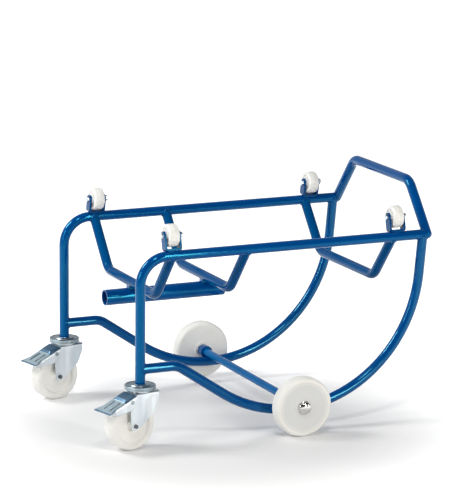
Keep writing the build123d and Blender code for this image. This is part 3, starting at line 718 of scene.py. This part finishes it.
# Pressed brake pedal: a ribbed tread with a raised hood, and skirts bent down along both sides
def make_pedal(side):
    slope = tan(PEDAL_FALL)
    lower = rounded([
        (-PEDAL_BACK, 8.5, 0), (-11.5, -9, 7), (2, -20.5, 8), (20, -24, 20), (40, -26, 14), (57, -25.8, 9),
        (66, -20.8, 2), (PEDAL_REACH, -22.2, 0), (20, 300, 0),
    ], 6)[:-1]
    skirt_steps, arc_steps, edge_steps, long_steps = 10, 8, 6, 74
    least_skirt, tread_depth = 0.8, 1.5
    hood_h, hood_end, lip_from = 4.6, 19.5, PEDAL_REACH - 2.2
    rib_h, rib_y, crest_off = 1.6, (-11.7, 11.7), -1.2
    groove_d, groove_off, groove_half, groove_from, groove_to = 1.7, 2.6, 1.8, 25, 57
    stud_h, stud_x = 0.7, 42.0
    tread_y = [0.5 * k - 18.0 for k in range(73)]
    back_x = [0.8 * k - PEDAL_BACK for k in range(4)]
    span = PEDAL_REACH - back_x[-1]
    columns = back_x + [back_x[-1] + span * k / long_steps for k in range(1, long_steps + 1)]

    def plate_z(x):
        return PEDAL_RISE - (x + PEDAL_BACK) * slope

    def half_width(x):
        return PEDAL_OUT + (PEDAL_TIP_Y - PEDAL_OUT) * smooth_step(46, PEDAL_REACH, x)

    def shoulder(x):
        """Radius of the bend from the tread into the skirts; the lip stays flat."""
        return 6.5 - 3.3 * smooth_step(48, 66, x)

    def hood(x, y):
        along = smooth_step(-PEDAL_BACK - 1, -PEDAL_BACK + 6, x) * (1 - smooth_step(13.5, 21.5, x))
        return hood_h * along * (1 - smooth_step(17.5, 24.5, abs(y)))

    def ribs(x, y):
        """Two ribs with a groove beside each, and a stud between them."""
        rib = 0.0
        for middle in rib_y:
            crest = 1 - smooth_step(0.4, 2.6, abs(y - middle - crest_off))
            groove = 1 - smooth_step(0.7, 1.9, abs(y - middle - groove_off))
            rib += rib_h * crest - groove_d * groove
        rib *= smooth_step(21, 30, x) * (1 - smooth_step(50, 61, x))
        stud = 1 - smooth_step(2.0, 4.6, sqrt((x - stud_x) ** 2 + y ** 2))
        return rib + stud_h * stud

    outer, inner = [], []
    for x in columns:
        w, top, bend = half_width(x), plate_z(x), shoulder(x)
        thin = bend - PEDAL_T
        low = min(between(lower, x), top - bend - least_skirt)
        over, under = [], []
        for k in range(skirt_steps):
            z = low + (top - bend - low) * k / skirt_steps
            over.append(Vector((x, -w, z)))
            under.append(Vector((x, PEDAL_T - w, z)))
        for k in range(arc_steps):
            a = pi / 2 * k / arc_steps
            over.append(Vector((x, bend - w - bend * cos(a), top - bend + bend * sin(a))))
            under.append(Vector((x, bend - w - thin * cos(a), top - bend + thin * sin(a))))
        side_w = w - bend - tread_y[-1]
        flank = [tread_y[-1] + side_w * k / edge_steps for k in range(1, edge_steps + 1)]
        left = len(over)
        for y in [-y for y in reversed(flank)] + tread_y + flank:
            over.append(Vector((x, y, top + hood(x, y) + ribs(x, y))))
            under.append(Vector((x, y, top + hood(x, y) - PEDAL_T)))
        over += [Vector((p.x, -p.y, p.z)) for p in reversed(over[:left])]
        under += [Vector((p.x, -p.y, p.z)) for p in reversed(under[:left])]
        outer.append(over)
        inner.append(under)
    bm = bmesh.new()
    shell(bm, outer, inner, lip=0.45)
    bm.transform(Matrix.Translation((PIVOT_X, 0, PIVOT_Z)))
    for face in bm.faces:
        middle = face.calc_center_median() - Vector((PIVOT_X, 0, PIVOT_Z))
        if middle.z < plate_z(middle.x) - tread_depth:
            face.material_index = 1
        # The hood and the front lip take the darker zinc as painted shade
        elif middle.x < hood_end or middle.x > lip_from:
            face.material_index = 2
        # The grooves beside the ribs take a near-black painted shade
        elif groove_from < middle.x < groove_to:
            if min(abs(middle.y - y - groove_off) for y in rib_y) < groove_half:
                face.material_index = 3
    place = caster_place(side)
    obj = piece(f"{side}_pedal_pressing", bm, place, f"{side}_brake", "pedal_zinc", [f"{side}_pedal"], 62)
    for look in ("zinc", "pedal_painted_shade", "dark_painted_shade"):
        obj.data.materials.append(LOOKS[look])


def make_bracket(side, end):
    """A strap bent into a channel on the rail, with two round-topped ears for the roller's bolt."""
    bend_r, reach = 6.5, EAR_W / 2
    tops = [ROLLER_H + reach * sin(radians(8 * k)) for k in range(11)]
    ear = [Vector((EAR_OUT, z)) for z in (BASE_Z + bend_r, 26.0, 34.0, 42.0, *tops)]
    corner = [
        Vector((EAR_OUT - bend_r + bend_r * sin(a), BASE_Z + bend_r - bend_r * cos(a)))
        for a in (pi / 2 * k / 8 for k in range(8))
    ]
    half = [Vector((4.0 * k, BASE_Z)) for k in range(4)] + corner + ear
    outline = [Vector((-p.x, p.y)) for p in reversed(half[1:])] + half
    rows = []
    for p in outline:
        wide = sqrt(reach ** 2 - max(p.y - ROLLER_H, 0) ** 2)
        rows.append([Vector((p.x, wide * (k / 5 - 1), p.y)) for k in range(11)])
    bm = bmesh.new()
    grid(bm, rows)
    place = roller_place(side, end)
    # The strap's darker paint is painted shade
    obj = piece(
        f"{side}_{end}_strap", bm, place, "frame", "blue_paint", [f"{side}_{end}_bracket"], 180,
        look="bracket_painted_shade",
    )
    thicken(obj, EAR_OUT - EAR_IN, edge=1.1)


for side in SIDES:
    make_fork(side)
    make_pedal(side)
    for end in ROLLER_X:
        make_bracket(side, end)


# Weld beads where the tubes meet
def bead(name, points, closed, width=2.1, place=Matrix.Identity(4)):
    """A rippled weld bead along points."""
    count = len(points)
    spans = count if closed else count - 1
    spread = sum((points[(i + 1) % count] - points[i]).length for i in range(spans))
    ripple_pitch, least_ripples = 3.2, 3
    ripples = max(int(spread / ripple_pitch), least_ripples)
    radii = []
    for i in range(count):
        t = i / spans
        size = width * (1 + 0.09 * cos(2 * pi * ripples * t) + 0.06 * sin(2 * pi * 3 * t + 1.0))
        if not closed:
            size *= 0.55 + 0.45 * min(1.0, 8 * min(t, 1 - t))
        radii.append(size)
    bm = bmesh.new()
    tube_along(bm, points, radii, closed)
    piece(name, bm, place, "frame", "blue_paint", (), 180)


def cope_curve(origin, main, branch, count=120):
    """Where a branch tube's outside meets a main tube of its size; both axes pass through origin."""
    main, branch = main.normalized(), branch.normalized()
    e1 = (main - branch * main.dot(branch)).normalized()
    e2 = branch.cross(e1)
    points = []
    for k in range(count):
        a = 2 * pi * k / count
        ring = (e1 * cos(a) + e2 * sin(a)) * TUBE_R
        flat_b = branch - main * branch.dot(main)
        flat_r = ring - main * ring.dot(main)
        qa, qb, qc = flat_b.dot(flat_b), 2 * flat_b.dot(flat_r), flat_r.dot(flat_r) - TUBE_R ** 2
        reach = (-qb + sqrt(max(qb * qb - 4 * qa * qc, 0))) / (2 * qa)
        points.append(origin + branch * reach + ring)
    return points


def node_x(node):
    """The middle of a node's box along X, in millimetres."""
    low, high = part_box(node)
    return (low.x + high.x) / 2 / MM


X_AXIS, Z_AXIS = Vector((1, 0, 0)), Vector((0, 0, 1))
RUNNER_END = Vector((-sin(RUNNER_LEAN), 0, -cos(RUNNER_LEAN)))
SEAM_HALF, SEAM_Y, SEAM_Z = 15, 7.0, 11.2
for side, sign in SIDES.items():
    for end in ("front", "middle", "rear"):
        joint = Vector((node_x(f"{end}_saddle"), sign * SIDE_Y, RAIL_Z))
        leg = Vector((0, -sign * (SIDE_Y - SADDLE_Y), -SADDLE_DROP))
        bead(f"{side}_{end}_saddle_weld", cope_curve(joint, X_AXIS, leg), True)
    joint = Vector((X_LEG, sign * SIDE_Y, RUNNER_Z))
    bead(f"{side}_runner_weld", cope_curve(joint, Z_AXIS, X_AXIS), True)
    for end in ROLLER_X:
        for edge, y in (("outer", sign * SEAM_Y), ("inner", -sign * SEAM_Y)):
            seam = [Vector((x, y, SEAM_Z)) for x in range(-SEAM_HALF, SEAM_HALF + 1)]
            bead(f"{side}_{end}_strap_weld_{edge}", seam, False, 2.2, place=roller_place(side, end))
    joint = Vector((X_LEG + RUNNER_TOP, sign * SIDE_Y, RAIL_Z))
    bead(f"{side}_runner_top_weld", cope_curve(joint, X_AXIS, RUNNER_END), True)

# Stage: a pale floor, lifted towards white for the camera and for reflections away from the object, with a painted
# shade pool round the object where the lift is small; soft lamps and the camera
FLOOR_REACH = 30.0
FLOOR_GREY = 0.80
PAINTED_SHADE_CENTRE = (-0.14, -0.20, 0)
FADE_FROM, FADE_TO = 0.30, 1.0
LIFT_IN_PAINTED_SHADE, LIFT_FAR = 0.10, 0.92
corners = ((-1, -1), (1, -1), (1, 1), (-1, 1))
floor_mesh = bpy.data.meshes.new("floor")
floor_mesh.from_pydata([(x * FLOOR_REACH, y * FLOOR_REACH, 0) for x, y in corners], [], [(0, 1, 2, 3)])
floor = bpy.data.objects.new("floor", floor_mesh)
scene.collection.objects.link(floor)
floor_look = bpy.data.materials.new("pale_floor")
floor_look.use_nodes = True
nodes, links = floor_look.node_tree.nodes, floor_look.node_tree.links
nodes.clear()
paper = nodes.new("ShaderNodeBsdfDiffuse")
paper.inputs["Color"].default_value = (FLOOR_GREY, FLOOR_GREY, FLOOR_GREY, 1)
lift = nodes.new("ShaderNodeEmission")
path = nodes.new("ShaderNodeLightPath")
seen = nodes.new("ShaderNodeMath")
seen.operation = "MAXIMUM"
links.new(path.outputs["Is Camera Ray"], seen.inputs[0])
links.new(path.outputs["Is Glossy Ray"], seen.inputs[1])
seen_all = nodes.new("ShaderNodeMath")
seen_all.operation = "MAXIMUM"
links.new(seen.outputs[0], seen_all.inputs[0])
links.new(path.outputs["Is Transmission Ray"], seen_all.inputs[1])
spot = nodes.new("ShaderNodeTexCoord")
away = nodes.new("ShaderNodeVectorMath")
away.operation = "DISTANCE"
away.inputs[1].default_value = PAINTED_SHADE_CENTRE
links.new(spot.outputs["Object"], away.inputs[0])
# The lift is small near the fade centre, which leaves a painted shade pool on the floor round the object
fade = nodes.new("ShaderNodeMapRange")
fade.interpolation_type = "SMOOTHSTEP"
fade.inputs["From Min"].default_value = FADE_FROM
fade.inputs["From Max"].default_value = FADE_TO
fade.inputs["To Min"].default_value = LIFT_IN_PAINTED_SHADE
fade.inputs["To Max"].default_value = LIFT_FAR
links.new(away.outputs["Value"], fade.inputs["Value"])
amount = nodes.new("ShaderNodeMath")
amount.operation = "MULTIPLY"
links.new(fade.outputs["Result"], amount.inputs[1])
links.new(seen_all.outputs[0], amount.inputs[0])
links.new(amount.outputs[0], lift.inputs["Strength"])
both = nodes.new("ShaderNodeAddShader")
links.new(paper.outputs[0], both.inputs[0])
links.new(lift.outputs[0], both.inputs[1])
floor_out = nodes.new("ShaderNodeOutputMaterial")
links.new(both.outputs[0], floor_out.inputs["Surface"])
floor.data.materials.append(floor_look)

# World: a pale backdrop behind the object and a dim room behind the camera, both by height
ROOM_Y, BACKDROP_Y = -0.35, 0.25
world = bpy.data.worlds.new("studio")
scene.world = world
world.use_nodes = True
nodes, links = world.node_tree.nodes, world.node_tree.links
sky = nodes["Background"]
toward = nodes.new("ShaderNodeTexCoord")
parts = nodes.new("ShaderNodeSeparateXYZ")
links.new(toward.outputs["Generated"], parts.inputs[0])
backdrop = ramp(
    nodes, links, parts.outputs["Z"],
    [
        (0.0, (0.66, 0.67, 0.69)), (0.25, (0.60, 0.615, 0.64)),
        (0.6, (0.42, 0.44, 0.47)), (0.95, (0.10, 0.125, 0.155)),
    ],
)
room = ramp(
    nodes, links, parts.outputs["Z"],
    [
        (0.0, (0.32, 0.31, 0.30)), (0.12, (0.17, 0.16, 0.15)),
        (0.35, (0.06, 0.055, 0.05)), (1.0, (0.06, 0.06, 0.065)),
    ],
)
behind = nodes.new("ShaderNodeMapRange")
behind.interpolation_type = "SMOOTHSTEP"
behind.inputs["From Min"].default_value = ROOM_Y
behind.inputs["From Max"].default_value = BACKDROP_Y
links.new(parts.outputs["Y"], behind.inputs["Value"])
studio = nodes.new("ShaderNodeMix")
studio.data_type = "RGBA"
links.new(behind.outputs["Result"], studio.inputs["Factor"])
links.new(room.outputs["Color"], studio.inputs["A"])
links.new(backdrop.outputs["Color"], studio.inputs["B"])
links.new(studio.outputs["Result"], sky.inputs["Color"])


def soft_box(name, place, aim, size, power, colour):
    """A rectangular lamp in watts that looks from place to aim, in metres."""
    lamp = bpy.data.lights.new(name, "AREA")
    lamp.shape = "RECTANGLE"
    lamp.size, lamp.size_y = size
    lamp.energy = power
    lamp.color = colour
    obj = bpy.data.objects.new(name, lamp)
    scene.collection.objects.link(obj)
    obj.location = place
    obj.rotation_mode = "QUATERNION"
    obj.rotation_quaternion = (Vector(aim) - Vector(place)).to_track_quat("-Z", "Y")


soft_box("main_box", (-2.2, 0.9, 2.5), (0.0, 0.0, 0.3), (1.0, 1.0), 56, (1.0, 0.99, 0.96))
soft_box("key_strip", (0.95, -3.3, 1.35), (0.2, 0.0, 1.0), (0.36, 2.2), 46, (1.0, 0.98, 0.94))
soft_box("front_box", (-0.8, -1.96, 2.9), (0.0, 0.0, 0.2), (0.5, 0.5), 22, (1.0, 0.98, 0.95))
soft_box("low_box", (2.6, -2.3, 0.6), (0.0, 0.0, 0.2), (1.2, 0.8), 8, (1.0, 0.99, 0.97))
soft_box("left_strip", (-2.7, -0.65, 1.2), (0.1, -0.1, 0.4), (0.3, 1.0), 18, (1.0, 0.98, 0.94))

# Camera, fitted to the photograph
CAM_PLACE = Vector((-2.9889, -6.6371, 1.9975))
CAM_AZ, CAM_EL, CAM_ROLL = radians(-24.408), radians(12.279), radians(0.560)
CAM_LENS, CAM_SENSOR = 211.24, 36.0
back = Vector((sin(CAM_AZ) * cos(CAM_EL), -cos(CAM_AZ) * cos(CAM_EL), sin(CAM_EL)))
right = Vector((cos(CAM_AZ), sin(CAM_AZ), 0))
up = back.cross(right)
cam_x = right * cos(CAM_ROLL) + up * sin(CAM_ROLL)
cam_y = up * cos(CAM_ROLL) - right * sin(CAM_ROLL)
camera = bpy.data.objects.new("camera", bpy.data.cameras.new("camera"))
scene.collection.objects.link(camera)
camera.data.lens = CAM_LENS
camera.data.sensor_width = CAM_SENSOR
camera.data.clip_start, camera.data.clip_end = 0.1, 100.0
camera.matrix_world = Matrix.Translation(CAM_PLACE) @ Matrix((cam_x, cam_y, back)).transposed().to_4x4()
scene.camera = camera
scene.view_settings.view_transform = "Standard"
